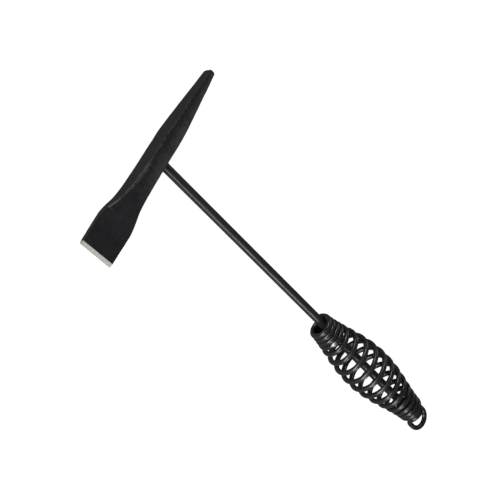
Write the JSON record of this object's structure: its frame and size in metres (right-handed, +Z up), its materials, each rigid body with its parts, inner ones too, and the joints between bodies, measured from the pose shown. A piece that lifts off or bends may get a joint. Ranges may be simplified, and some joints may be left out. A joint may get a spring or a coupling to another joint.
{
  "type": "chipping hammer",
  "caption": "All-steel chipping hammer: forged head with a chisel blade and a tapered pick, round shank, and a barrel-shaped coil-spring grip that ends in a hang loop.",
  "frame": {"origin": "centre of the underside of the box round the hammer, which lies on one side of the head and on the belly of its spring grip", "axes": "+X along the handle from the head to the hang loop, +Y along the head from the chisel blade to the pick, +Z up"},
  "size_m": [0.3202, 0.1408, 0.0356],
  "materials": {
    "black_forging": "black forged steel, ground bright at the chisel edge",
    "weld_metal": "blackened weld bead",
    "black_rod": "satin black steel",
    "black_wire": "satin black spring wire"
  },
  "bodies": {
    "hammer": {"hammer_head": "black_forging", "head_weld": "weld_metal", "shank_rod": "black_rod", "butt_weld": "weld_metal"},
    "grip": {"spring_grip": "black_wire"}
  },
  "joints": [
    {"name": "grip_flex", "type": "hinge", "parent": "hammer", "child": "grip", "pos_m": [0.13923, 0.00347, 0.02044], "axis": [-0.0445, 0, 0.999], "range_deg": [-2.1, 0.1], "stiffness_Nm_per_rad": 10}
  ]
}
